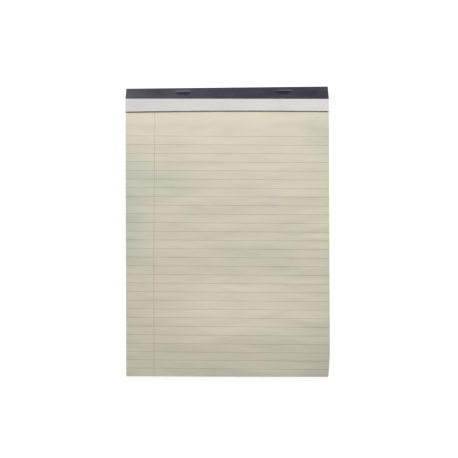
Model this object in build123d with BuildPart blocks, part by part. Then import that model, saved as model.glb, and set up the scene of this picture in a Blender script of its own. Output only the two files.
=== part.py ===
from build123d import *
import math
import os

os.makedirs("parts", exist_ok=True)

# A writing pad that lies on its backing board, bound along its head with folded tape and two staples.
# X runs across the pad, Y towards the bound head and Z up. The origin is under the middle of the pad,
# level with its lowest points, the two low bumps that the clinched staples make in the tape's back flap.

# The trimmed pad
pad_width = 210.0
pad_length = 298.0
head_pull = 1.0  # each side runs in this far at the head, where the tape pulls the sheets together
head_pull_length = 11.0
corner_pull = 1.6  # the right foot corner is bent by use, so the side curves in
corner_pull_length = 30.0
corner_rounding = 0.8

# The layers, from the back
board_thickness = 1.0
sheet_thickness = 0.1
sheets_left = 40
sheets_torn_off = 10
cover_thickness = 0.3

# How the used sheets stand up from the board
middle_rise = 0.5
foot_rise = 0.4
corner_droop = 1.9
corner_droop_reach = 46.0

# The perforation, along which the cover and the used sheets were torn off
perforation_at_left = 23.8  # from the head
perforation_at_middle = 23.7
perforation_at_right = 25.2
tie_pitch = 2.1  # the paper left between the slits of the perforation, torn off as small tabs
tie_width = 0.6
tie_length = 0.35

# The tape
tape_thickness = 0.2
front_flap_at_left = 10.3  # the tape was laid on a little out of square
front_flap_at_right = 12.7
back_flap = 13.0
tape_fold_radius = 0.25  # inside the fold

# The staples, of flat wire
wire_width = 0.6
wire_thickness = 0.45
wire_bend = 0.45
wire_clearance = 0.02
crown_width = 12.7
crown_flat = 8.0  # the middle of the crown, between its two sloping shoulders
clinch_length = 3.8
clinch_proud = 0.08  # how far the clinched legs stand out of the board
crown_gap = 0.05  # between the crown and the tape over it
staple_from_head = 4.3
left_staple_x = -45.1
right_staple_x = 59.1

# The ridges that the staples make in the tape
front_ridge_height = 0.95
front_ridge_length = 19.0
back_ridge_height = 0.3
back_ridge_length = 20.0
ridge_depth = 1.5  # from the flap's face down to the axis that a ridge is turned about

# Places that follow from these sizes
head = pad_length / 2
foot = -pad_length / 2
side = pad_width / 2
flap_end = head - back_flap
back_face = back_ridge_height
board_top = back_face + board_thickness
sheet_block = sheets_left * sheet_thickness
stub_base = board_top + sheet_block
cover_base = stub_base + sheets_torn_off * sheet_thickness
cover_top = cover_base + cover_thickness
front_face = cover_top + tape_thickness
inner_bend = min(tape_fold_radius, 0.8 * cover_thickness)
over = 1.0  # how far a cutting shape passes what it cuts
flat_end = head - max(perforation_at_left, perforation_at_middle, perforation_at_right) - over

# The outline that one cut of the guillotine gives every layer
with BuildSketch() as trimmed_outline:
    with BuildLine():
        Polyline(
            (side, foot + corner_pull_length),
            (side, head - head_pull_length),
            (side - head_pull, head),
            (-side + head_pull, head),
            (-side, head - head_pull_length),
            (-side, foot),
            (side - corner_pull, foot),
        )
        TangentArc((side, foot + corner_pull_length), (side - corner_pull, foot), tangent=(0, -1))
    make_face()
    fillet(trimmed_outline.vertices().group_by(Axis.Y)[0], corner_rounding)

# The same outline, inside the tape's fold
with BuildSketch() as leaf_outline:
    add(trimmed_outline.sketch)
    with Locations((0, head)):
        Rectangle(pad_width + over, 2 * tape_thickness, mode=Mode.SUBTRACT)

# What is left of a sheet above the perforation, with the torn ties along its edge
with BuildSketch() as stub_outline:
    with BuildLine():
        perforation = ThreePointArc(
            (-side - over, head - perforation_at_left),
            (0, head - perforation_at_middle),
            (side + over, head - perforation_at_right),
        )
        Polyline(
            (side + over, head - perforation_at_right),
            (side + over, head + over),
            (-side - over, head + over),
            (-side - over, head - perforation_at_left),
        )
    make_face()
    ties = range(int(pad_width / tie_pitch))
    with Locations(*[perforation @ ((tie + 0.5) * tie_pitch / perforation.length) for tie in ties]):
        Rectangle(tie_width, 2 * tie_length)
    add(leaf_outline.sketch, mode=Mode.INTERSECT)

# A staple, about the point midway between its legs, with its crown raised and its legs clinched inwards
ridge_slope = front_ridge_height / ((front_ridge_length - crown_flat) / 2)
crown_middle = cover_top + front_ridge_height - crown_gap - wire_thickness / 2
crown_end = crown_middle - ridge_slope * (crown_width - crown_flat) / 2
clinch_height = back_face + tape_thickness + wire_thickness / 2 - clinch_proud
leg = crown_width / 2

with BuildLine(Plane.XZ) as staple_path:
    FilletPolyline(
        (-leg + clinch_length, clinch_height),
        (-leg, clinch_height),
        (-leg, crown_end),
        (-crown_flat / 2, crown_middle),
        (crown_flat / 2, crown_middle),
        (leg, crown_end),
        (leg, clinch_height),
        (leg - clinch_length, clinch_height),
        radius=wire_bend,
    )

with BuildPart() as staple:
    with BuildSketch(Plane(staple_path.line @ 0, x_dir=(0, 1, 0), z_dir=staple_path.line % 0)):
        Rectangle(wire_width, wire_thickness)
    sweep(path=staple_path.line)

# The same wire, thicker by its clearance: the way that it makes through the layers
with BuildPart() as staple_way:
    with BuildSketch(Plane(staple_path.line @ 0, x_dir=(0, 1, 0), z_dir=staple_path.line % 0)):
        Rectangle(wire_width + 2 * wire_clearance, wire_thickness + 2 * wire_clearance)
    sweep(path=staple_path.line)

staple_places = Locations(
    (left_staple_x, head - staple_from_head, 0),
    (right_staple_x, head - staple_from_head, 0),
)

# The backing board, pressed in by the tape's back flap, which so lies level with it
with BuildPart() as backing_board:
    with BuildSketch(Plane.XY.offset(back_face)):
        add(leaf_outline.sketch)
    extrude(amount=board_thickness)
    with BuildSketch(Plane.XY.offset(back_face)):
        with Locations((0, flap_end)):
            Rectangle(pad_width + over, back_flap, align=(Align.CENTER, Align.MIN))
    extrude(amount=tape_thickness, mode=Mode.SUBTRACT)
    fillet(backing_board.edges().filter_by(Axis.X).group_by(Axis.Y)[-1].sort_by(Axis.Z)[0], inner_bend)
    with staple_places:
        add(staple_way.part, mode=Mode.SUBTRACT)
backing_board.part.label = "backing_board"
export_step(backing_board.part, "parts/backing_board.step")


# How high the top sheet lies above the board, at a place on the pad
def sheet_height(x, y):
    along = (flat_end - y) / (flat_end - foot)
    risen = sheet_block + middle_rise * 4 * along * (1 - along) + foot_rise * along
    past_fold = corner_droop_reach - ((side - x) + (y - foot)) / math.sqrt(2)
    return risen - corner_droop * (max(0, past_fold) / corner_droop_reach) ** 2


# The sheets that are left, tight at the head and looser towards the foot, with one corner bent down
sections = 9
points_along = 10
with BuildPart() as ruled_sheets:
    for section in range(sections):
        x = (side + over) * (2 * section / (sections - 1) - 1)
        top_points = []
        for point in range(points_along):
            y = flat_end + (foot - over - flat_end) * point / (points_along - 1)
            top_points.append((y, board_top + sheet_height(x, y)))
        with BuildSketch(Plane.YZ.offset(x)):
            with BuildLine():
                Spline(*top_points)
                Polyline(
                    top_points[-1],
                    (foot - over, back_face),
                    (head + over, back_face),
                    (head + over, stub_base),
                    top_points[0],
                )
            make_face()
    loft()
    with BuildSketch(Plane.XY.offset(board_top), mode=Mode.PRIVATE) as sheet_outline:
        add(leaf_outline.sketch)
    extrude(sheet_outline.sketch, amount=front_face, mode=Mode.INTERSECT)
    with staple_places:
        add(staple_way.part, mode=Mode.SUBTRACT)
ruled_sheets.part.label = "ruled_sheets"
export_step(ruled_sheets.part, "parts/ruled_sheets.step")

# The stubs of the used sheets
with BuildPart() as torn_stubs:
    with BuildSketch(Plane.XY.offset(stub_base)):
        add(stub_outline.sketch)
    extrude(amount=cover_base - stub_base)
    with staple_places:
        add(staple_way.part, mode=Mode.SUBTRACT)
torn_stubs.part.label = "torn_stubs"
export_step(torn_stubs.part, "parts/torn_stubs.step")

# The stub of the white cover
with BuildPart() as cover_stub:
    with BuildSketch(Plane.XY.offset(cover_base)):
        add(stub_outline.sketch)
    extrude(amount=cover_thickness)
    fillet(cover_stub.edges().filter_by(Axis.X).group_by(Axis.Y)[-1].sort_by(Axis.Z)[-1], inner_bend)
    with staple_places:
        add(staple_way.part, mode=Mode.SUBTRACT)
cover_stub.part.label = "cover_stub"
export_step(cover_stub.part, "parts/cover_stub.step")


# The section that the tape wraps round, or at no inset the section of the wrapped head
def wrap_section(inset):
    with BuildSketch(Plane.YZ) as section:
        with Locations((head - inset, back_face + inset)):
            Rectangle(back_flap, front_face - back_face - 2 * inset, align=(Align.MAX, Align.MIN))
        fillet(section.vertices().group_by(Axis.Y)[-1], inner_bend + tape_thickness - inset)
    return section.sketch


# A turned body, whose side stands out of the tape as the tent over a staple: a round ridge as long as the
# flat of the crown, with a cone running out from each end of it
def ridge(height, length, inset):
    flat = crown_flat / 2
    past_flap = 0.5 * ridge_depth
    tip = flat + (length / 2 - flat) * (height + past_flap) / height
    with BuildPart() as body:
        with BuildSketch(Plane.XZ):
            with BuildLine():
                Polyline(
                    (-tip, 0),
                    (-tip, ridge_depth - past_flap - inset),
                    (-flat, ridge_depth + height - inset),
                    (flat, ridge_depth + height - inset),
                    (tip, ridge_depth - past_flap - inset),
                    (tip, 0),
                    close=True,
                )
            make_face()
        revolve(axis=Axis.X)
    return body.part


# The tape, folded over the head and tented over both sides of each staple
with BuildPart() as binding_tape:
    for inset, mode in ((0, Mode.ADD), (tape_thickness, Mode.SUBTRACT)):
        extrude(wrap_section(inset), amount=side + over, both=True, mode=mode)
        for x in (left_staple_x, right_staple_x):
            with Locations((x, head - staple_from_head, front_face - ridge_depth)):
                add(ridge(front_ridge_height, front_ridge_length, inset), mode=mode)
            with Locations((x, head - staple_from_head, back_face + ridge_depth)):
                add(ridge(back_ridge_height, back_ridge_length, inset), mode=mode)
    with BuildSketch(Plane.XY.offset(cover_base)):
        with BuildLine():
            Polyline(
                (-side - over, head - front_flap_at_left),
                (side + over, head - front_flap_at_right),
                (side + over, flap_end - over),
                (-side - over, flap_end - over),
                close=True,
            )
        make_face()
    extrude(amount=front_face, mode=Mode.SUBTRACT)
    with BuildSketch(Plane.XY, mode=Mode.PRIVATE) as tape_outline:
        add(trimmed_outline.sketch)
    extrude(tape_outline.sketch, amount=2 * front_face, mode=Mode.INTERSECT)
binding_tape.part.label = "binding_tape"
export_step(binding_tape.part, "parts/binding_tape.step")

# The two staples
for name, x in (("staple_left", left_staple_x), ("staple_right", right_staple_x)):
    with BuildPart() as placed_staple:
        with Locations((x, head - staple_from_head, 0)):
            add(staple.part)
    placed_staple.part.label = name
    export_step(placed_staple.part, f"parts/{name}.step")
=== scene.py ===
import math

import bpy
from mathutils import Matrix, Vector, noise


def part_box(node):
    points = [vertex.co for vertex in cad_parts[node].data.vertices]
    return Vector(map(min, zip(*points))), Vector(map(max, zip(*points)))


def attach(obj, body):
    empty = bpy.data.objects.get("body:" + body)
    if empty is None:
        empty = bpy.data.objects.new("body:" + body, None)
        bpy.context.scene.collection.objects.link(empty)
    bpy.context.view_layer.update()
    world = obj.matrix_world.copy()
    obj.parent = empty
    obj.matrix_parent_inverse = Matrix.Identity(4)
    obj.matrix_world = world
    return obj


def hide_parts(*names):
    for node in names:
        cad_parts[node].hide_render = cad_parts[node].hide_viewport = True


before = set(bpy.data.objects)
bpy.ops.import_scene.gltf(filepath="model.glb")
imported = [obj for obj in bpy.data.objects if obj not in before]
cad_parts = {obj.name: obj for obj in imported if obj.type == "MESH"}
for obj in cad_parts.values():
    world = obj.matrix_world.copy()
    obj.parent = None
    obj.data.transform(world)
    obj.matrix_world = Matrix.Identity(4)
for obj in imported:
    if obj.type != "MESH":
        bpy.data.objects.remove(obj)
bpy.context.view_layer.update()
print("frame loaded:", sorted(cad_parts))

# Sizes below are in millimetres. A mesh or a node input gets them in metres, by way of mm.
mm = 0.001
body = "root"

pad = {
    "halfWidth": 105.0,
    "head": 149.0,
    "foot": -149.0,
    "headPull": 1.0,  # how far each side runs in at the bound end
    "headPullLength": 11.0,
    "cornerPull": 1.6,  # the used corner, at the right of the foot
    "cornerPullLength": 30.0,
    "cornerRounding": 0.8,
    "tapeThickness": 0.2,
    "boardTop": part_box("backing_board")[1].z / mm,
    "block": 4.0,  # the unused sheets, pressed together at the bound end
    "leaves": 40,
    "flatEnd": 122.8,
    "middleRise": 0.5,
    "footRise": 0.4,
    "cornerDroop": 1.9,
    "cornerDroopReach": 46.0,
    "perforation": (23.8, 23.7, 25.2),  # from the head: at the left, middle and right
}


def headEdge():  # sheets and board end inside the tape's fold
    return pad["head"] - pad["tapeThickness"]


def perforationFromHead(x):
    left, middle, right = pad["perforation"]
    across = x / pad["halfWidth"]
    return middle + (right - left) / 2 * across + ((left + right) / 2 - middle) * across ** 2


def sideLimits(y):  # left and right edge of the trimmed pad
    pulled = pad["headPull"] * max(0, 1 - (pad["head"] - y) / pad["headPullLength"])
    radius = (pad["cornerPull"] ** 2 + pad["cornerPullLength"] ** 2) / (2 * pad["cornerPull"])
    into = min(max(0, pad["foot"] + pad["cornerPullLength"] - y), pad["cornerPullLength"])
    curved = radius - math.sqrt(radius ** 2 - into ** 2)
    fromFoot = max(0, y - pad["foot"])
    rounding = pad["cornerRounding"]
    rounded = 0
    if fromFoot < rounding:
        rounded = rounding - math.sqrt(rounding ** 2 - (rounding - fromFoot) ** 2)
    return -pad["halfWidth"] + pulled + rounded, pad["halfWidth"] - pulled - curved - rounded


def blockRise(x, y):  # how high the top of the sheets lies above the board
    along = max(0, (pad["flatEnd"] - y) / (pad["flatEnd"] - pad["foot"]))
    risen = pad["block"] + pad["middleRise"] * 4 * along * (1 - along) + pad["footRise"] * along
    reach = pad["cornerDroopReach"]
    pastFold = reach - ((pad["halfWidth"] - x) + (y - pad["foot"])) / math.sqrt(2)
    return risen - pad["cornerDroop"] * (max(0, pastFold) / reach) ** 2


def smooth(t):
    t = min(max(t, 0), 1)
    return t * t * (3 - 2 * t)


# Node trees

def findSocket(sockets, name):
    if isinstance(name, int):
        return sockets[name]
    for socket in sockets:
        if socket.identifier == name:
            return socket
    return sockets[name]


class Value:  # a node's output, on which sums can be written
    def __init__(self, graph, socket):
        self.graph = graph
        self.socket = socket

    def __getitem__(self, name):  # another output of the same node
        return Value(self.graph, findSocket(self.socket.node.outputs, name))

    def __add__(self, other):
        return self.graph.sum("ADD", self, other)

    def __sub__(self, other):
        return self.graph.sum("SUBTRACT", self, other)

    def __rsub__(self, other):
        return self.graph.sum("SUBTRACT", other, self)

    def __mul__(self, other):
        return self.graph.sum("MULTIPLY", self, other)

    def __truediv__(self, other):
        return self.graph.sum("DIVIDE", self, other)

    def __pow__(self, other):
        return self.graph.sum("POWER", self, other)

    __radd__ = __add__
    __rmul__ = __mul__


class Graph:
    def __init__(self, tree):
        self.tree = tree

    def node(self, kind, settings=None, sockets=None, output=0):
        made = self.tree.nodes.new(kind)
        for name, value in (settings or {}).items():
            setattr(made, name, value)
        for name, value in (sockets or {}).items():
            socket = findSocket(made.inputs, name)
            if isinstance(value, Value):
                self.tree.links.new(value.socket, socket)
            else:
                socket.default_value = value
        return Value(self, findSocket(made.outputs, output)) if len(made.outputs) else None

    def sum(self, operation, *values):
        return self.node("ShaderNodeMath", {"operation": operation}, dict(enumerate(values)))

    def between(self, value, low, high, toLow=0.0, toHigh=1.0):  # eased from low to high
        sockets = {
            "Value": value,
            "From Min": low,
            "From Max": high,
            "To Min": toLow,
            "To Max": toHigh,
        }
        return self.node("ShaderNodeMapRange", {"interpolation_type": "SMOOTHSTEP"}, sockets)

    def vectorSum(self, operation, *values):
        return self.node("ShaderNodeVectorMath", {"operation": operation}, dict(enumerate(values)))

    def length(self, vector):
        return self.vectorSum("LENGTH", vector)["Value"]

    def xyz(self, vector):  # stands for X, and has Y and Z as further outputs
        return self.node("ShaderNodeSeparateXYZ", None, {"Vector": vector})

    def vector(self, x, y, z):
        return self.node("ShaderNodeCombineXYZ", None, {"X": x, "Y": y, "Z": z})

    def stretched(self, vector, scale):
        return self.vectorSum("MULTIPLY", vector, scale)

    def grain(self, vector, scale, detail=3.0, roughness=0.5):
        sockets = {"Vector": vector, "Scale": scale, "Detail": detail, "Roughness": roughness}
        return self.node("ShaderNodeTexNoise", None, sockets)

    def attribute(self, name):
        return self.node("ShaderNodeAttribute", {"attribute_name": name}, output="Fac")

    def mixed(self, factor, first, second, blend="MIX"):
        settings = {"data_type": "RGBA", "blend_type": blend}
        sockets = {"Factor_Float": factor, "A_Color": first, "B_Color": second}
        return self.node("ShaderNodeMix", settings, sockets, "Result_Color")

    def shaded(self, base, shade):  # a colour made lighter or darker by a number
        return self.mixed(1.0, base, self.vector(shade, shade, shade), "MULTIPLY")

    def random(self, low, high, number, seed):
        sockets = {"Min_001": low, "Max_001": high, "ID": number, "Seed": seed}
        return self.node("FunctionNodeRandomValue", {"data_type": "FLOAT"}, sockets, "Value_001")


def colour(red, green, blue):  # as read off a screen, 0 to 255
    def linear(level):
        level /= 255
        return level / 12.92 if level <= 0.04045 else ((level + 0.055) / 1.055) ** 2.4
    return (linear(red), linear(green), linear(blue), 1)


def makeMaterial(name, build):
    material = bpy.data.materials.new(name)
    material.use_nodes = True
    material.node_tree.nodes.clear()
    graph = Graph(material.node_tree)
    surface = build(graph, graph.node("ShaderNodeTexCoord", output="Object"))
    graph.node("ShaderNodeOutputMaterial", None, {"Surface": surface})
    return material


def bumped(graph, height, strength, distance):
    sockets = {"Height": height, "Strength": strength, "Distance": distance * mm}
    return graph.node("ShaderNodeBump", None, sockets)


# Paper: a cream writing paper with long faint fibres, toned a little at its edges, with broad
# patches of painted shade and painted light

paper = {
    "colour": colour(208, 203, 182),
    "cloudColour": colour(203, 200, 181),
    "tonedColour": colour(188, 192, 178),
    "cloudSize": 42.0,
    "cloudShare": 0.7,
    "fibreSize": 0.55,
    "fibreStretch": 0.35,
    "fibreShade": 0.07,
    "fleckShade": 0.02,
    "darkest": 0.955,  # the shade where there is no light fibre or fleck
    "toningWidth": 7.0,
    "toningWander": 8.0,
    "toningCorner": 6.0,  # how softly the toning rounds the corners
    "edgeToning": 0.12,
    "patchToning": 0.6,
    "patchTones": (1.01, 0.9),  # between these tones a patch of painted shade also takes the cooler toned colour, as painted shade
    "patches": [  # painted shade and painted light in broad patches: middle x and y, half sizes, how much lighter
        (-25.0, 118.0, 120.0, 44.0, 0.015),
        (-108.0, 20.0, 36.0, 90.0, -0.055),
        (-60.0, 55.0, 48.0, 26.0, -0.05),
        (20.0, -28.0, 95.0, 26.0, -0.01),
        (12.0, -78.0, 124.0, 48.0, 0.14),
        (20.0, -165.0, 160.0, 44.0, -0.042),
        (102.0, 100.0, 40.0, 34.0, -0.045),
        (-100.0, 69.0, 34.0, 18.0, -0.022),
        (108.0, -152.0, 48.0, 48.0, -0.065),
    ],
    "patchCore": 0.15,  # the share of a patch that is even, before it fades out
    "bump": 0.02,
    "roughness": 0.88,
    "roughnessSpread": 0.12,
}


def paintedLightAndShade(graph, place):
    tone = 1.0
    for middleX, middleY, halfLength, halfWidth, lighter in paper["patches"]:
        fromMiddle = graph.vectorSum("SUBTRACT", place, (middleX * mm, middleY * mm, 0.0))
        shares = graph.stretched(fromMiddle, (1 / (halfLength * mm), 1 / (halfWidth * mm), 0.0))
        tone = tone + graph.between(graph.length(shares), 1.0, paper["patchCore"]) * lighter
    return tone


def paperSurface(graph, place, ink=None):
    xyz = graph.xyz(place)
    clouds = graph.grain(place, 1 / (paper["cloudSize"] * mm), 2.0)
    cloudy = graph.between(clouds, 0.38, 0.66)
    fibreScale = 1 / (paper["fibreSize"] * mm)
    lengthwise = graph.stretched(place, (paper["fibreStretch"], 1.0, 1.0))
    fibres = graph.grain(lengthwise, fibreScale, 4.0, 0.6)
    flecks = graph.grain(place, fibreScale * 0.5, 2.0, 0.7)
    sideDistance = pad["halfWidth"] * mm - graph.sum("ABSOLUTE", xyz)
    footDistance = xyz["Y"] - pad["foot"] * mm
    edge = graph.sum("SMOOTH_MIN", sideDistance, footDistance, paper["toningCorner"] * mm)
    wander = (clouds - 0.5) * paper["toningWander"] * mm
    toned = 1 - graph.between(edge + wander, 0.0, paper["toningWidth"] * mm)
    # painted shade and painted light in broad patches; the darker patches also take the toned
    # colour as painted shade
    tone = paintedLightAndShade(graph, place)
    toningAndShade = toned * paper["edgeToning"]
    toningAndShade = toningAndShade + graph.between(tone, *paper["patchTones"]) * paper["patchToning"]
    base = graph.mixed(cloudy * paper["cloudShare"], paper["colour"], paper["cloudColour"])
    base = graph.mixed(toningAndShade, base, paper["tonedColour"])
    if ink:
        base = graph.mixed(1.0, base, ink, "MULTIPLY")
    grained = paper["darkest"] + fibres * paper["fibreShade"] + flecks * paper["fleckShade"]
    base = graph.shaded(base, grained * tone)
    sockets = {
        "Base Color": base,
        "Roughness": paper["roughness"] + (fibres - 0.5) * paper["roughnessSpread"],
        "Normal": bumped(graph, fibres + flecks * 0.5, 0.35, paper["bump"]),
        "Specular IOR Level": 0.25,
    }
    return graph.node("ShaderNodeBsdfPrincipled", None, sockets)


# Leaves below the top one: each differs a little in tone, which shows at the trimmed edges

leafLook = {
    "darkColour": colour(193, 188, 168),
    "lightColour": colour(214, 210, 192),
    "dustColour": colour(176, 169, 148),
    "dustSize": 2.6,
    "dustShare": 0.5,
    "roughness": 0.85,
}


def leafSurface(graph, place):
    look = leafLook
    tone = graph.node(
        "ShaderNodeTexWhiteNoise", {"noise_dimensions": "1D"}, {"W": graph.attribute("leaf")})
    flattened = graph.stretched(place, (1.0, 1.0, 6.0))
    dust = graph.grain(flattened, 1 / (look["dustSize"] * mm), 3.0)
    base = graph.mixed(tone, look["darkColour"], look["lightColour"])
    base = graph.mixed(graph.between(dust, 0.5, 0.78) * look["dustShare"], base, look["dustColour"])
    sockets = {
        "Base Color": base,
        "Roughness": look["roughness"] + dust * 0.1,
        "Normal": bumped(graph, dust, 0.3, 0.03),
        "Specular IOR Level": 0.2,
    }
    return graph.node("ShaderNodeBsdfPrincipled", None, sockets)


# The torn leaves and the cover's white card: fibres, specks and a soft cloud, and on the cover
# painted light that makes its right end lighter

tornStock = {
    "colour": colour(206, 202, 184),
    "fleckColour": colour(192, 187, 166),
    "fleckSize": 0.5,
    "cloudSize": 26.0,
    "fading": 0.0,
}

coverStock = {
    "colour": colour(207, 205, 201),
    "fleckColour": colour(195, 194, 191),
    "fleckSize": 0.6,
    "cloudSize": 26.0,
    "fading": 0.035,  # painted light: how much lighter the right end is than the middle
}


def stockOf(look):
    def surface(graph, place):
        fleckSize = look["fleckSize"] * mm
        fibres = graph.grain(graph.stretched(place, (0.4, 1.0, 1.0)), 1 / fleckSize, 4.0, 0.6)
        clouds = graph.grain(place, 1 / (look["cloudSize"] * mm), 2.0)
        specks = graph.grain(place, 1 / (fleckSize * 1.6), 2.0, 0.8)
        amount = graph.between(specks, 0.6, 0.75) * 0.3 + graph.between(clouds, 0.35, 0.7) * 0.35
        tint = graph.mixed(amount + (fibres - 0.5) * 0.2, look["colour"], look["fleckColour"])
        # painted light, lighter towards one end across the pad
        across = graph.xyz(place) / (pad["halfWidth"] * mm)
        sockets = {
            "Base Color": graph.shaded(tint, 1 + across * look["fading"]),
            "Roughness": 0.82 + (fibres - 0.5) * 0.15,
            "Normal": bumped(graph, fibres, 0.3, 0.02),
            "Specular IOR Level": 0.25,
        }
        return graph.node("ShaderNodeBsdfPrincipled", None, sockets)
    return surface


# Tape: dark blue binding cloth with a fine crossed weave, rubbed grey along its folds and over the
# staples, with a painted highlight along each staple's crest, painted shade in the crease at its
# foot side, and painted sheen towards the left end

tapeCloth = {
    "colour": colour(40, 38, 51),
    "deepColour": colour(24, 23, 35),
    "rubbedColour": colour(96, 97, 104),
    "threadPitch": 0.42,
    "fuzzSize": 0.8,
    "patchSize": 11.0,
    "patchShare": 0.26,
    "fading": [  # painted sheen, paler towards the left end: from this x to this one, and how much
        (120.0, -130.0, 0.26),
        (-74.0, -106.0, 0.22),
    ],
    "bump": 0.05,
    "roughness": 0.55,
    "roughnessSpread": 0.2,
}


def tapeSurface(graph, place):
    xyz = graph.xyz(place)
    turns = 2 * math.pi / (tapeCloth["threadPitch"] * mm)
    warp = graph.sum("SINE", xyz * turns) * 0.5 + 0.5
    weft = graph.sum("SINE", (xyz["Y"] + xyz["Z"]) * turns) * 0.5 + 0.5
    fuzzScale, patchScale = (1 / (tapeCloth[size] * mm) for size in ("fuzzSize", "patchSize"))
    fuzz = graph.grain(graph.stretched(place, (0.4, 1.0, 1.0)), fuzzScale, 4.0, 0.6)
    patches = graph.grain(graph.stretched(place, (0.35, 1.0, 1.0)), patchScale, 3.0)
    weave = warp * weft
    rubbingAndShading = graph.between(patches, 0.42, 0.8) * tapeCloth["patchShare"]
    # painted sheen, paler towards the left end
    for fromX, toX, amount in tapeCloth["fading"]:
        rubbingAndShading = rubbingAndShading + graph.between(xyz, fromX * mm, toX * mm) * amount
    # the mesh carries wear, painted highlights on the staple crests and painted shade in the
    # creases below them
    rubbingAndShading = rubbingAndShading + graph.attribute("wearAndPaintedShade")
    base = graph.mixed(weave * 0.5 + fuzz * 0.5, tapeCloth["deepColour"], tapeCloth["colour"])
    base = graph.mixed(rubbingAndShading, base, tapeCloth["rubbedColour"])
    sockets = {
        "Base Color": base,
        "Roughness": tapeCloth["roughness"] + (fuzz - 0.5) * tapeCloth["roughnessSpread"],
        "Normal": bumped(graph, weave * 0.6 + fuzz * 0.8, 0.4, tapeCloth["bump"]),
        "Specular IOR Level": 0.2,
    }
    return graph.node("ShaderNodeBsdfPrincipled", None, sockets)


# Board: grey-brown pressed pulp with darker and lighter fibres

board = {
    "colour": colour(150, 139, 121),
    "darkColour": colour(112, 101, 86),
    "lightColour": colour(182, 172, 153),
    "fibreLength": 3.4,
    "fibreStretch": 5.0,
    "darkShare": 0.6,
    "lightShare": 0.55,
    "cloudSize": 30.0,
    "cloudShare": 0.18,
    "roughness": 0.86,
}


def boardSurface(graph, place):
    fine, stretch = 1 / (board["fibreLength"] * mm), board["fibreStretch"]
    across = graph.grain(graph.stretched(place, (1.0, stretch, 1.0)), fine, 3.0, 0.6)
    along = graph.grain(graph.stretched(place, (stretch, 1.0, 1.0)), fine * 1.2, 3.0, 0.6)
    clouds = graph.grain(place, 1 / (board["cloudSize"] * mm), 3.0)
    dark = graph.between(across, 0.58, 0.72) * board["darkShare"]
    light = graph.between(along, 0.6, 0.74) * board["lightShare"]
    cloudy = graph.between(clouds, 0.3, 0.7) * board["cloudShare"]
    base = graph.mixed(dark, board["colour"], board["darkColour"])
    base = graph.mixed(light, base, board["lightColour"])
    base = graph.mixed(cloudy, base, board["darkColour"])
    sockets = {
        "Base Color": base,
        "Roughness": board["roughness"] + (along - 0.5) * 0.15,
        "Normal": bumped(graph, across + along, 0.35, 0.05),
        "Specular IOR Level": 0.25,
    }
    return graph.node("ShaderNodeBsdfPrincipled", None, sockets)


# Staples: drawn steel wire

steel = {
    "darkColour": colour(168, 170, 174),
    "lightColour": colour(206, 208, 210),
    "drawnWidth": 0.09,
    "roughness": 0.28,
}


def steelSurface(graph, place):
    lengthwise = graph.stretched(place, (0.2, 1.0, 0.2))
    drawn = graph.grain(lengthwise, 1 / (steel["drawnWidth"] * mm), 3.0)
    sockets = {
        "Base Color": graph.mixed(drawn, steel["darkColour"], steel["lightColour"]),
        "Metallic": 1.0,
        "Roughness": steel["roughness"] + drawn * 0.2,
        "Normal": bumped(graph, drawn, 0.2, 0.01),
    }
    return graph.node("ShaderNodeBsdfPrincipled", None, sockets)


# Ink: the share of the paper's own red, green and blue that shows through it

inkShares = {
    "ruling": (0.66, 0.645, 0.60),
    "margin": (0.77, 0.65, 0.62),
}


def inkOf(share):
    def surface(graph, place):
        return paperSurface(graph, place, (*share, 1))
    return surface


creamPaper = makeMaterial("creamPaper", paperSurface)
leafPaper = makeMaterial("leafPaper", leafSurface)
tornPaper = makeMaterial("tornPaper", stockOf(tornStock))
coverCard = makeMaterial("coverCard", stockOf(coverStock))
rulingInk = makeMaterial("rulingInk", inkOf(inkShares["ruling"]))
marginInk = makeMaterial("marginInk", inkOf(inkShares["margin"]))
bindingCloth = makeMaterial("bindingCloth", tapeSurface)
pulpBoard = makeMaterial("pulpBoard", boardSurface)
stapleSteel = makeMaterial("stapleSteel", steelSurface)
print("materials made")


# Meshes

def meshOf(piece):  # what the modifiers give, as a plain mesh
    evaluated = bpy.context.evaluated_depsgraph_get()
    return bpy.data.meshes.new_from_object(piece.evaluated_get(evaluated), depsgraph=evaluated)


def finish(piece, sharp=40):
    piece.data.shade_smooth()
    piece.data.set_sharp_from_angle(angle=math.radians(sharp))
    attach(piece, body)
    print(f"{piece.name}: {len(piece.data.polygons)} faces")


def addPiece(name, mesh, material=None):
    piece = bpy.data.objects.new(name, mesh)
    bpy.context.scene.collection.objects.link(piece)
    if material:
        mesh.materials.append(material)
    return piece


def slabMesh(name, top, bottom):  # two equal grids of points in mm, joined into a closed slab
    rows, columns = len(top), len(top[0])
    points = [Vector(p) * mm for grid in (top, bottom) for row in grid for p in row]
    below = rows * columns
    faces = []
    for r in range(rows - 1):
        for c in range(columns - 1):
            a = r * columns + c
            faces.append((a, a + 1, a + 1 + columns, a + columns))
            faces.append((below + a, below + a + columns, below + a + 1 + columns, below + a + 1))
    rim = list(range(columns))
    rim += [r * columns + columns - 1 for r in range(1, rows)]
    rim += [(rows - 1) * columns + c for c in range(columns - 2, -1, -1)]
    rim += [r * columns for r in range(rows - 2, 0, -1)]
    for here, after in zip(rim, rim[1:] + rim[:1]):
        faces.append((here, below + here, below + after, after))
    mesh = bpy.data.meshes.new(name)
    mesh.from_pydata(points, [], faces)
    return mesh


def sheetRows(count):  # closer together along the rounded corners of the foot
    rounded = [pad["cornerRounding"] * share for share in (0, 0.05, 0.2, 0.45, 0.75)]
    start = pad["foot"] + pad["cornerRounding"] * 1.2
    step = (headEdge() - start) / count
    return [pad["foot"] + r for r in rounded] + [start + step * i for i in range(count + 1)]


def sheetGrid(columns, rows, height):
    grid = []
    for y in sheetRows(rows):
        left, right = sideLimits(y)
        xs = [left + (right - left) * c / columns for c in range(columns + 1)]
        grid.append([(x, y, height(x, y)) for x in xs])
    return grid


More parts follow.
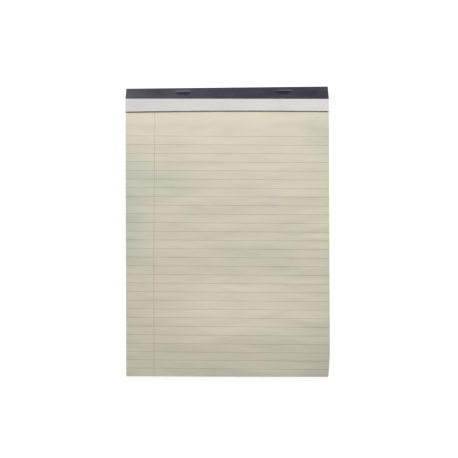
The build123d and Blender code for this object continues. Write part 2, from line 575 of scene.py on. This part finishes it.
def growWith(name, source, sizes, material, build):  # a tree on the source mesh, made plain
    tree = bpy.data.node_groups.new(name, "GeometryNodeTree")
    interface = tree.interface
    interface.new_socket("Geometry", in_out="OUTPUT", socket_type="NodeSocketGeometry")
    interface.new_socket("Geometry", in_out="INPUT", socket_type="NodeSocketGeometry")
    values = {**sizes, "Material": material}
    kinds = {int: "NodeSocketInt", float: "NodeSocketFloat"}
    inputs = {}
    for label, value in values.items():
        kind = kinds.get(type(value), "NodeSocketMaterial")
        inputs[label] = interface.new_socket(label, in_out="INPUT", socket_type=kind).identifier
    graph = Graph(tree)
    given = graph.node("NodeGroupInput")
    shape = build(graph, given)
    shape = graph.node("GeometryNodeRealizeInstances", None, {"Geometry": shape})
    sockets = {"Geometry": shape, "Material": given["Material"]}
    shape = graph.node("GeometryNodeSetMaterial", None, sockets)
    graph.node("NodeGroupOutput", None, {"Geometry": shape})
    piece = addPiece(name, source)
    modifier = piece.modifiers.new(name, "NODES")
    modifier.node_group = tree
    for label, value in values.items():
        modifier[inputs[label]] = value
    mesh = meshOf(piece)
    piece.modifiers.remove(modifier)
    piece.data = mesh
    mesh.name = name
    return piece


def copies(graph, shape, count, attribute):  # all in one place, each numbered in an attribute
    points = graph.node("GeometryNodePoints", None, {"Count": count})
    sockets = {"Points": points, "Instance": shape}
    several = graph.node("GeometryNodeInstanceOnPoints", None, sockets)
    number = graph.node("GeometryNodeInputIndex")
    settings = {"data_type": "FLOAT", "domain": "INSTANCE"}
    sockets = {"Geometry": several, "Name": attribute, "Value": number}
    several = graph.node("GeometryNodeStoreNamedAttribute", settings, sockets)
    several = graph.node("GeometryNodeRealizeInstances", None, {"Geometry": several})
    return several, named(graph, attribute)


def named(graph, attribute):
    settings = {"data_type": "FLOAT"}
    return graph.node("GeometryNodeInputNamedAttribute", settings, {"Name": attribute})


def moved(graph, shape, x, y, z):
    sockets = {"Geometry": shape, "Position": graph.vector(x, y, z)}
    return graph.node("GeometryNodeSetPosition", None, sockets)


# The top sheet, cockled along its sides where damp hands and air reach it

topSheet = {
    "columns": 110,
    "rows": 240,
    "fill": 0.9,  # its thickness as a share of the space it has
    "waves": [  # height, the share of it that is always there, and lengths across the pad and down
        (1.05, 0.5, 52.0, 13.0),
        (0.42, 0.3, 27.0, 6.0),
        (0.17, 0.3, 17.0, 3.2),
    ],
    "waveSwing": 0.5,
    "bend": (4.5, 38.0, 50.0),  # how far the waves wander down the page, and over what lengths
    "edgeWave": (0.32, 0.3, 30.0, 7.5),
    "edgeReach": 26.0,
    "flatteningLength": 14.0,  # next to the torn stubs, where the sheet is still held flat
    "ridges": [  # middle x and y, half length, half width, height, slope
        (-100.0, 59.0, 13.0, 2.4, 0.16, 0.05),
        (-100.0, 50.5, 13.0, 2.2, 0.21, 0.05),
        (-101.0, 38.0, 12.0, 2.2, 0.22, 0.03),
        (-99.0, -5.5, 12.0, 2.6, 0.23, -0.03),
        (-62.0, 64.0, 26.0, 4.5, 0.26, 0.0),
        (-50.0, 47.0, 22.0, 3.6, 0.24, -0.04),
        (92.0, -6.5, 16.0, 2.3, 0.52, 0.02),
        (93.0, -16.5, 18.0, 3.2, 0.40, 0.0),
        (86.0, -53.5, 20.0, 3.0, 0.40, 0.02),
        (92.0, 94.0, 13.0, 3.4, 0.34, -0.18),
        (84.0, 114.0, 12.0, 3.6, 0.26, 0.2),
        (88.0, 38.0, 18.0, 3.2, 0.36, 0.02),
        (90.0, 72.0, 15.0, 3.4, 0.28, -0.08),
    ],
    "seed": 11.3,
    "edgeSeed": 7,
    "bendSeed": 20,
}


def ripple(x, y, across, down, seed):
    return noise.noise(Vector((x / across, y / down, topSheet["seed"] + seed)))


def waveHeight(wave, x, y, seed):
    height, least, across, down = wave
    return height * (least + topSheet["waveSwing"] * ripple(x, y, across, down, seed))


def waveAt(x, y, number):
    bend, across, down = topSheet["bend"]
    bent = y + bend * ripple(x, y, across, down, topSheet["bendSeed"])
    return waveHeight(topSheet["waves"][number], x, bent, number)


def looseness(x, y):  # none where the torn stubs hold the sheet flat, all a little way below them
    return smooth((pad["head"] - perforationFromHead(x) - y) / topSheet["flatteningLength"])


def swell(x, y):  # the broad wave, which the leaves below share
    return looseness(x, y) * waveAt(x, y, 0)


def cockle(x, y):
    fromSide = min(x + pad["halfWidth"], pad["halfWidth"] - x)
    atSide = math.exp(-((fromSide / topSheet["edgeReach"]) ** 2))
    height = atSide * waveHeight(topSheet["edgeWave"], x, y, topSheet["edgeSeed"])
    for middleX, middleY, halfLength, halfWidth, top, slope in topSheet["ridges"]:
        along = x - middleX
        across = (y - middleY) - slope * along
        height += top * math.exp(-((along / halfLength) ** 2) - (across / halfWidth) ** 2)
    height += sum(waveAt(x, y, number) for number in range(len(topSheet["waves"])))
    return looseness(x, y) * height


# The stack of unused leaves under the top sheet: one leaf, repeated, each pressed to its share
# of the height

stack = {
    "columns": 14,
    "rows": 66,
    "fill": 0.86,  # leaf thickness as a share of the space it has
    "shuffle": 0.07,  # how far leaves lie out of line
    "loosening": 2.5,  # the higher, the more of the swell is left to the upper leaves
    "seed": 4,
    "numbersApart": 500,  # so that no leaf's shift down the pad is drawn like one across it
}


def stackTree(graph, given):
    shape, leaf = copies(graph, given["Geometry"], given["Leaves"], "leaf")
    at = graph.xyz(graph.node("GeometryNodeInputPosition"))
    shuffle = given["Shuffle"]
    x = at + graph.random(0 - shuffle, shuffle, leaf, given["Seed"])
    y = at["Y"] + graph.random(0 - shuffle, 0.0, leaf + stack["numbersApart"], given["Seed"])
    share = (leaf + named(graph, "face") * given["Fill"]) / given["Leaves In Block"]
    swelling = share ** given["Loosening"] * named(graph, "swell")
    z = given["Board Top"] + share * named(graph, "rise") + swelling
    return moved(graph, shape, x, y, z)


def makeStack():
    flat = sheetGrid(stack["columns"], stack["rows"], lambda x, y: 0.0)
    raised = [[(x, y, 1.0) for x, y, z in row] for row in flat]
    leaf = slabMesh("leaf", raised, flat)
    rise = leaf.attributes.new("rise", "FLOAT", "POINT")
    swelling = leaf.attributes.new("swell", "FLOAT", "POINT")
    face = leaf.attributes.new("face", "FLOAT", "POINT")
    for vertex in leaf.vertices:
        x, y = vertex.co.x / mm, vertex.co.y / mm
        rise.data[vertex.index].value = blockRise(x, y) * mm
        swelling.data[vertex.index].value = swell(x, y) * mm
        face.data[vertex.index].value = 1.0 if vertex.co.z > 0 else 0.0
    sizes = {
        "Leaves": pad["leaves"] - 1,
        "Leaves In Block": float(pad["leaves"]),
        "Board Top": pad["boardTop"] * mm,
        "Fill": stack["fill"],
        "Shuffle": stack["shuffle"] * mm,
        "Loosening": stack["loosening"],
        "Seed": stack["seed"],
    }
    piece = growWith("leaf_stack", leaf, sizes, leafPaper, stackTree)
    finish(piece)
    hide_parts("ruled_sheets")


makeStack()


def makeTopSheet():
    boardTop, leaves = pad["boardTop"], pad["leaves"]

    def upper(x, y):
        return boardTop + blockRise(x, y) + cockle(x, y)

    def lower(x, y):
        return boardTop + blockRise(x, y) * (leaves - topSheet["fill"]) / leaves + cockle(x, y)

    columns, rows = topSheet["columns"], topSheet["rows"]
    top, bottom = sheetGrid(columns, rows, upper), sheetGrid(columns, rows, lower)
    piece = addPiece("top_sheet", slabMesh("top_sheet", top, bottom), creamPaper)
    finish(piece)
    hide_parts("ruled_sheets")
    return piece


sheet = makeTopSheet()


# The ruling and the margin, printed on the top sheet: bars laid on it by dropping a ray from
# each of their points

printing = {
    "lift": 0.02,
    "sunk": 0.05,
    "rayInset": 0.9985,  # rays fall a little in from the sides, so that none misses the sheet
    "rayStart": 100.0,
}

ruling = {
    "lines": 28,
    "firstLine": 98.65,
    "pitch": 8.905,
    "measuredAt": -33.0,  # the x at which the places above hold
    "slopeAtHead": 0.0126,  # the ruling was printed a little out of square
    "slopeAtFoot": 0.0059,
    "headShift": 0.5,  # the first and the last lines lie a little nearer the head
    "headShiftLines": (12.0, 5.0),  # between these lines the shift grows from none to all
    "footShift": 1.1,
    "footShiftLines": (24.0, 27.0),
    "width": 0.38,
    "sideInset": 0.02,
    "segments": 96,
}

margin = {
    "x": -76.0,
    "headShift": 1.5,
    "shiftFrom": -60.0,
    "width": 0.5,
    "footInset": 0.03,
    "segments": 150,
}


def laidOnSheet(graph, given, bar, x, y, up):
    sockets = {
        "Target Geometry": given["Geometry"],
        "Source Position": graph.vector(x * printing["rayInset"], y, printing["rayStart"] * mm),
        "Ray Direction": (0, 0, -1),
        "Ray Length": 1.0,
    }
    hit = graph.node("GeometryNodeRaycast", None, sockets)["Hit Position"]
    thickness = given["Lift"] + given["Sunk"]
    return moved(graph, bar, x, y, graph.xyz(hit)["Z"] + (up + 0.5) * thickness - given["Sunk"])


def barOf(graph, given):
    sockets = {"Vertices X": given["Segments"] + 1, "Vertices Y": 2, "Vertices Z": 2}
    return graph.node("GeometryNodeMeshCube", None, sockets)


def rulingTree(graph, given):
    bars, line = copies(graph, barOf(graph, given), given["Lines"], "line")
    at = graph.xyz(graph.node("GeometryNodeInputPosition"))
    middle = given["First Line"] - line * given["Pitch"]
    middle = middle + graph.between(line, *ruling["headShiftLines"]) * given["Head Shift"]
    middle = middle + graph.between(line, *ruling["footShiftLines"]) * given["Foot Shift"]
    share = line / (given["Lines"] - 1)
    slope = given["Slope At Head"] + share * (given["Slope At Foot"] - given["Slope At Head"])
    radius = given["Corner Radius"]
    into = graph.sum("MAXIMUM", given["Corner Start"] - middle, 0.0)
    curved = radius - graph.sum("SQRT", radius * radius - into * into)
    half = given["Half Width"]
    x = (at + 0.5) * (half * 2 - curved) - half
    y = middle - slope * (x - given["Measured At"]) + at["Y"] * given["Width"]
    return laidOnSheet(graph, given, bars, x, y, at["Z"])


def marginTree(graph, given):
    bar = barOf(graph, given)
    at = graph.xyz(graph.node("GeometryNodeInputPosition"))
    y = given["Foot"] + (at + 0.5) * (given["Top End"] - given["Foot"])
    shift = graph.between(y, given["Shift From"], given["Top End"]) * given["Head Shift"]
    x = given["Margin X"] + shift - at["Y"] * given["Width"]
    return laidOnSheet(graph, given, bar, x, y, at["Z"])


def makeRuling():
    inkDepth = {"Lift": printing["lift"] * mm, "Sunk": printing["sunk"] * mm}
    cornerPull, cornerLength = pad["cornerPull"], pad["cornerPullLength"]
    sizes = {
        "Lines": ruling["lines"],
        "Segments": ruling["segments"],
        "First Line": ruling["firstLine"] * mm,
        "Pitch": ruling["pitch"] * mm,
        "Measured At": ruling["measuredAt"] * mm,
        "Slope At Head": ruling["slopeAtHead"],
        "Slope At Foot": ruling["slopeAtFoot"],
        "Head Shift": ruling["headShift"] * mm,
        "Foot Shift": ruling["footShift"] * mm,
        "Width": ruling["width"] * mm,
        "Half Width": (pad["halfWidth"] - ruling["sideInset"]) * mm,
        "Corner Start": (pad["foot"] + cornerLength) * mm,
        "Corner Radius": (cornerPull ** 2 + cornerLength ** 2) / (2 * cornerPull) * mm,
        **inkDepth,
    }
    lines = growWith("ruled_lines", sheet.data.copy(), sizes, rulingInk, rulingTree)
    finish(lines)
    sizes = {
        "Segments": margin["segments"],
        "Foot": (pad["foot"] + margin["footInset"]) * mm,
        "Top End": (pad["head"] - pad["perforation"][1]) * mm,
        "Margin X": margin["x"] * mm,
        "Head Shift": margin["headShift"] * mm,
        "Shift From": margin["shiftFrom"] * mm,
        "Width": margin["width"] * mm,
        **inkDepth,
    }
    line = growWith("margin_line", sheet.data.copy(), sizes, marginInk, marginTree)
    finish(line)


makeRuling()


# The stubs of the used sheets and of the cover, torn along the perforation

stubs = {
    "leaves": 10,
    "tiePitch": 2.1,
    "columnsPerTie": 7,
    "rows": 6,
    "tieLength": (0.12, 0.5),
    "raggedness": 0.07,
    "fill": 0.84,
    "tapeEdge": (10.3, 12.7),  # from the head: at the left and right
    "spreadAtLeft": 0.42,  # how far the torn edges have opened, as a share of their thickness
    "spreadAtRight": 0.22,
    "spreadLeast": 0.55,  # the opening varies along the pad, from this share of it up
    "spreadVaries": 0.9,
    "spreadWaves": 3.2,
    "tieShare": 0.12,  # how near the middle of its pitch a point has to be to lie on a tie
    "rowCrowding": 1.5,  # the rows lie closer together towards the torn edge
    "seed": 9,
    "tieNumbers": 997,  # these keep the draws of one leaf apart from those of the next
    "edgeNumbers": 7919,
}


def stubTree(graph, given):
    sockets = {
        "Vertices X": given["Columns"] + 1,
        "Vertices Y": given["Rows"] + 1,
        "Vertices Z": 2,
    }
    block = graph.node("GeometryNodeMeshCube", None, sockets)
    leaves, leaf = copies(graph, block, given["Leaves"], "leaf")
    at = graph.xyz(graph.node("GeometryNodeInputPosition"))
    along = at * 2
    fromLeft = at + 0.5

    column = graph.sum("ROUND", fromLeft * given["Columns"])
    tie = column / given["Columns Per Tie"]
    onTie = graph.sum("COMPARE", graph.sum("FRACT", tie), 0.5, stubs["tieShare"])
    tieNumber = graph.sum("FLOOR", tie) + leaf * stubs["tieNumbers"]
    edgeNumber = column + leaf * stubs["edgeNumbers"]
    tab = graph.random(given["Tie Least"], given["Tie Most"], tieNumber, given["Seed"]) * onTie
    ragged = graph.random(0.0, given["Raggedness"], edgeNumber, given["Seed"])
    left, middle, right = (given[f"Perforation At {end}"] for end in ("Left", "Middle", "Right"))
    fromHead = middle + (right - left) / 2 * along + ((left + right) / 2 - middle) * along ** 2
    torn = given["Head"] - fromHead - tab - ragged
    y = torn + (given["Head Edge"] - torn) * (at["Y"] + 0.5) ** stubs["rowCrowding"]

    pullLength = given["Pull Length"]
    pulled = graph.sum("MAXIMUM", y - given["Head"] + pullLength, 0.0) / pullLength
    x = along * (given["Half Width"] - pulled * given["Head Pull"])

    tapeLeft, tapeRight = given["Tape At Left"], given["Tape At Right"]
    tapeEdge = given["Head"] - tapeLeft - fromLeft * (tapeRight - tapeLeft)
    free = graph.sum("MAXIMUM", tapeEdge - y, 0.0) / (tapeEdge - torn)
    uneven = graph.grain(graph.vector(along, 0.0, 0.0), stubs["spreadWaves"], 2.0)
    spread = given["Spread Left"] + fromLeft * (given["Spread Right"] - given["Spread Left"])
    spread = spread * free * free * (stubs["spreadLeast"] + uneven * stubs["spreadVaries"])
    thick = (leaf + (at["Z"] + 0.5) * given["Fill"]) * given["Leaf Pitch"]
    z = given["Base"] + thick + spread * (thick * given["Opens"] + given["Carried"])
    return moved(graph, leaves, x, y, z)


def makeStub(name, node, material, leaves, opens, carried, seed):
    low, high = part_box(node)
    leafPitch = (high.z - low.z) / leaves
    ties = int(pad["halfWidth"] * 2 / stubs["tiePitch"])
    sizes = {
        "Leaves": leaves,
        "Columns": ties * stubs["columnsPerTie"],
        "Rows": stubs["rows"],
        "Columns Per Tie": float(stubs["columnsPerTie"]),
        "Tie Least": stubs["tieLength"][0] * mm,
        "Tie Most": stubs["tieLength"][1] * mm,
        "Raggedness": stubs["raggedness"] * mm,
        "Perforation At Left": pad["perforation"][0] * mm,
        "Perforation At Middle": pad["perforation"][1] * mm,
        "Perforation At Right": pad["perforation"][2] * mm,
        "Head": pad["head"] * mm,
        "Head Edge": headEdge() * mm,
        "Head Pull": pad["headPull"] * mm,
        "Pull Length": pad["headPullLength"] * mm,
        "Half Width": pad["halfWidth"] * mm,
        "Tape At Left": stubs["tapeEdge"][0] * mm,
        "Tape At Right": stubs["tapeEdge"][1] * mm,
        "Spread Left": stubs["spreadAtLeft"],
        "Spread Right": stubs["spreadAtRight"],
        "Opens": opens,
        "Carried": carried,
        "Base": low.z,
        "Leaf Pitch": leafPitch,
        "Fill": stubs["fill"] if leaves > 1 else 1.0,
        "Seed": seed,
    }
    piece = growWith(name, bpy.data.meshes.new(name), sizes, material, stubTree)
    finish(piece)
    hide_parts(node)


def makeStubs():  # the torn leaves open like a fan, and the cover rides up on the topmost
    low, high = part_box("torn_stubs")
    leaves, seed = stubs["leaves"], stubs["seed"]
    makeStub("torn_leaves", "torn_stubs", tornPaper, leaves, 1.0, 0.0, seed)
    makeStub("cover_card", "cover_stub", coverCard, 1, 0.0, high.z - low.z, seed + 1)


makeStubs()


# The binding tape: one strip wrapped round the head, tented over both staples

tape = {
    "thickness": pad["tapeThickness"],
    "flap": (10.3, 12.7),  # front flap from the head: at the left and right
    "backFlap": 13.0,
    "foldRadius": 0.44,
    "front": 6.8,
    "back": 0.3,
    "stapleX": (-45.1, 59.1),
    "tentSize": (1.0, 0.78),
    "stapleFromHead": 4.3,
    "crown": 8.0,  # the flat of a staple's crown
    "wire": 0.4,
    "ridgeLength": 19.0,
    "ridgeSides": (3.0, 4.4),  # how far the tent runs towards the head and towards the foot
    "ridgeEndWidth": 0.35,  # its width at its two ends, as a share of the full width
    "ridgeHeight": 1.25,
    "ridgeSharpness": 2.2,
    "backRidgeHeight": 0.28,
    "backRidgeLength": 20.0,
    "crestWear": (0.42, 0.6, 0.55),  # wear and painted highlight on the crest: how much, how far headward of the wire, and how wide
    "crestWearReach": 1.6,
    "creaseShade": (0.26, 1.5, 0.3, 1.2),  # painted shade in the crease: how much, how far footward, width at ends, and more
    "edgeWear": 0.03,
    "foldWear": 0.08,
    "cornerWear": 0.05,
    "puckerHeight": 0.05,
    "puckerSize": (13.0, 3.2),
    "puckerSeed": 2.7,
    "puckerRows": (4, 3),  # over so many rows the pucker dies out at the edge and at the fold
    "columns": 300,
    "flapRows": 30,
    "headwardRows": 14,
    "rowCrowding": (1.6, 1.3),  # the rows lie closer together towards the crest
    "foldRows": 6,
    "headRows": 7,
    "sharpAngle": 60,
}


def bell(distance, width):
    return math.exp(-((distance / width) ** 2))


def ridgeAt(x, y, height, length):  # the tent over a staple, steepest at the wire, with its wear, a painted highlight on the crest and painted shade in the crease
    fromWire = y - pad["head"] + tape["stapleFromHead"]
    headward, footward = tape["ridgeSides"]
    endWidth, reach = tape["ridgeEndWidth"], tape["crestWearReach"]
    wornAndHighlit, wornHeadward, wornWidth = tape["crestWear"]
    shaded, shadedFootward, shadedEnd, shadedMore = tape["creaseShade"]
    lift, wearAndShading = 0, 0
    for stapleX, size in zip(tape["stapleX"], tape["tentSize"]):
        pastCrown = max(0, abs(x - stapleX) - tape["crown"] / 2)
        along = max(0, 1 - pastCrown / ((length - tape["crown"]) / 2))
        side = headward if fromWire > 0 else footward
        width = size * side * (endWidth + (1 - endWidth) * along)
        across = max(0, abs(fromWire) - tape["wire"] / 2) / width
        tent = smooth(along) * max(0, 1 - across) ** tape["ridgeSharpness"]
        lift = max(lift, size * tent)
        # wear and a painted highlight along the crest
        wearAndShading += smooth(along * reach) * wornAndHighlit * bell(fromWire - wornHeadward, wornWidth)
        shadeWidth = size * (shadedEnd + shadedMore * along)
        # painted shade in the crease at the tent's foot side
        wearAndShading -= along * shaded * bell(fromWire + shadedFootward * size, shadeWidth)
    return lift * height, wearAndShading


def pucker(x, y):  # the cloth draws slightly between the staples and its edges
    across, down = tape["puckerSize"]
    drawn = noise.noise(Vector((x / across, y / down, tape["puckerSeed"])))
    return tape["puckerHeight"] * (0.5 + 0.5 * drawn)


def flapRowPlaces(flap):  # distances from the head, from the flap's edge to the fold
    headward = tape["headwardRows"]
    footward = tape["flapRows"] - headward
    crest, radius = tape["stapleFromHead"], tape["foldRadius"]
    toCrest, toFold = tape["rowCrowding"]
    shares = [1 - (1 - row / footward) ** toCrest for row in range(footward)]
    places = [flap + (crest - flap) * share for share in shares]
    shares = [(row / headward) ** toFold for row in range(headward + 1)]
    return places + [crest + (radius - crest) * share for share in shares]


def foldTurns():
    return [math.pi / 2 * step / tape["foldRows"] for step in range(1, tape["foldRows"])]


def tapeColumn(x):  # outside points from the front edge round to the back one, with their wear and painted shading
    head, radius, front, back = pad["head"], tape["foldRadius"], tape["front"], tape["back"]
    flapRows, headRows = tape["flapRows"], tape["headRows"]
    atLeft, atRight = tape["flap"]
    flap = atLeft + (atRight - atLeft) * (x + pad["halfWidth"]) / (2 * pad["halfWidth"])
    edgeRows, foldRows = tape["puckerRows"]
    points = []
    for row, fromHead in enumerate(flapRowPlaces(flap)):
        y = head - fromHead
        lifted, wearAndShading = ridgeAt(x, y, tape["ridgeHeight"], tape["ridgeLength"])
        inside = min(1, row / edgeRows, (flapRows - row) / foldRows)
        wearAndShading += tape["edgeWear"] * max(0, 1 - row / 2)
        points.append((y, front + lifted + pucker(x, y) * inside, wearAndShading))
    for turn in foldTurns():
        y, z = head - radius + radius * math.sin(turn), front - radius + radius * math.cos(turn)
        points.append((y, z, tape["foldWear"]))
    for row in range(headRows + 1):
        z = front - radius - (front - back - 2 * radius) * row / headRows
        points.append((head, z, tape["cornerWear"] if row in (0, headRows) else 0.0))
    for turn in foldTurns():
        y, z = head - radius + radius * math.cos(turn), back + radius - radius * math.sin(turn)
        points.append((y, z, tape["foldWear"]))
    for row in range(flapRows + 1):
        y = head - radius - (tape["backFlap"] - radius) * row / flapRows
        lifted, wearAndShading = ridgeAt(x, y, tape["backRidgeHeight"], tape["backRidgeLength"])
        points.append((y, back - lifted, wearAndShading / 2))
    return points


def makeTape():
    points, faces, wearAndPaintedShade = [], [], []
    columns = tape["columns"]
    for c in range(columns + 1):
        share = 2 * c / columns - 1
        column = tapeColumn(share * pad["halfWidth"])
        rows = len(column)
        for y, z, wearAndShading in column:
            points.append(Vector((share * sideLimits(y)[1], y, z)) * mm)
            wearAndPaintedShade.append(wearAndShading)
    for c in range(columns):
        for r in range(rows - 1):
            a = c * rows + r
            faces.append((a, a + rows, a + rows + 1, a + 1))
    mesh = bpy.data.meshes.new("tape_wrap")
    mesh.from_pydata(points, [], faces)
    mesh.attributes.new("wearAndPaintedShade", "FLOAT", "POINT").data.foreach_set("value", wearAndPaintedShade)
    piece = addPiece("tape_wrap", mesh, bindingCloth)
    thicken = piece.modifiers.new("thickness", "SOLIDIFY")
    thicken.thickness = tape["thickness"] * mm
    thicken.offset = -1
    solid = meshOf(piece)
    piece.modifiers.remove(thicken)
    piece.data = solid
    finish(piece, tape["sharpAngle"])
    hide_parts("binding_tape")


makeTape()


# The board and the staples keep their solids

solidLooks = {
    "backing_board": pulpBoard,
    "staple_left": stapleSteel,
    "staple_right": stapleSteel,
}

for node, material in solidLooks.items():
    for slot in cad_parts[node].material_slots:
        slot.material = material
print("solids dressed:", ", ".join(solidLooks))


# Floor, light and camera

studio = {
    "floorSize": 6.0,
    "floorColour": (0.8, 0.8, 0.8, 1),
    "floorFleck": (0.76, 0.76, 0.77, 1),
    "floorGlow": 1.3,
    "glowReach": (0.3, 1.6),  # between these distances the floor turns fully white
    "glowShare": (0.7, 1.0),
    "fill": (0.25, 0.25, 0.253, 1),
    "keyPlace": (0.06, 0.855, 0.95),
    "keySize": 0.35,
    "keyPower": 15.5,
    "cameraPlace": (0.0498, 0.0, 1.0053),
    "cameraTurn": (0.17, 2.74, -0.21),  # nearly straight down
    "lens": 76.29,
}


white = (1, 1, 1, 1)


def floorSurface(graph, place):  # the camera sees it almost white, and it lights the pad like paper
    light = graph.node("ShaderNodeLightPath")
    seen = graph.sum("MAXIMUM", light["Is Camera Ray"], light["Is Glossy Ray"])
    mottle = graph.grain(place, 1 / (40 * mm), 3.0)
    tint = graph.mixed(mottle * 0.1, studio["floorColour"], studio["floorFleck"])
    diffuse = graph.node("ShaderNodeBsdfDiffuse", None, {"Color": tint})
    sockets = {"Color": white, "Strength": studio["floorGlow"]}
    glow = graph.node("ShaderNodeEmission", None, sockets)
    whiter = graph.between(graph.length(place), *studio["glowReach"], *studio["glowShare"])
    return graph.node("ShaderNodeMixShader", None, {0: seen * whiter, 1: diffuse, 2: glow})


def makeFloor():
    half = studio["floorSize"] / 2
    corners = [(-half, -half, 0), (half, -half, 0), (half, half, 0), (-half, half, 0)]
    mesh = bpy.data.meshes.new("floor")
    mesh.from_pydata(corners, [], [(0, 1, 2, 3)])
    addPiece("floor", mesh, makeMaterial("floorWhite", floorSurface))


def makeFill():  # soft light from all round, and a white backdrop for the camera
    world = bpy.data.worlds.new("studio")
    world.use_nodes = True
    world.node_tree.nodes.clear()
    graph = Graph(world.node_tree)
    light = graph.node("ShaderNodeLightPath")
    seen = graph.sum("MAXIMUM", light["Is Camera Ray"], light["Is Glossy Ray"])
    seen = graph.sum("MAXIMUM", seen, light["Is Transmission Ray"])
    around = graph.mixed(seen, studio["fill"], white)
    background = graph.node("ShaderNodeBackground", None, {"Color": around, "Strength": 1.0})
    graph.node("ShaderNodeOutputWorld", None, {"Surface": background})
    bpy.context.scene.world = world


def makeKey():
    lamp = bpy.data.lights.new("key", "AREA")
    lamp.shape = "SQUARE"
    lamp.size = studio["keySize"]
    lamp.energy = studio["keyPower"]
    key = bpy.data.objects.new("key", lamp)
    key.location = studio["keyPlace"]
    key.rotation_euler = (-Vector(studio["keyPlace"])).to_track_quat("-Z", "Y").to_euler()
    bpy.context.scene.collection.objects.link(key)


def makeCamera():
    camera = bpy.data.cameras.new("camera")
    camera.sensor_width = 36
    camera.lens = studio["lens"]
    camera.clip_start = 0.01
    eye = bpy.data.objects.new("camera", camera)
    eye.location = studio["cameraPlace"]
    eye.rotation_euler = [math.radians(turn) for turn in studio["cameraTurn"]]
    scene = bpy.context.scene
    scene.collection.objects.link(eye)
    scene.camera = eye
    scene.view_settings.view_transform = "Standard"


makeFloor()
makeFill()
makeKey()
makeCamera()
print("studio made")
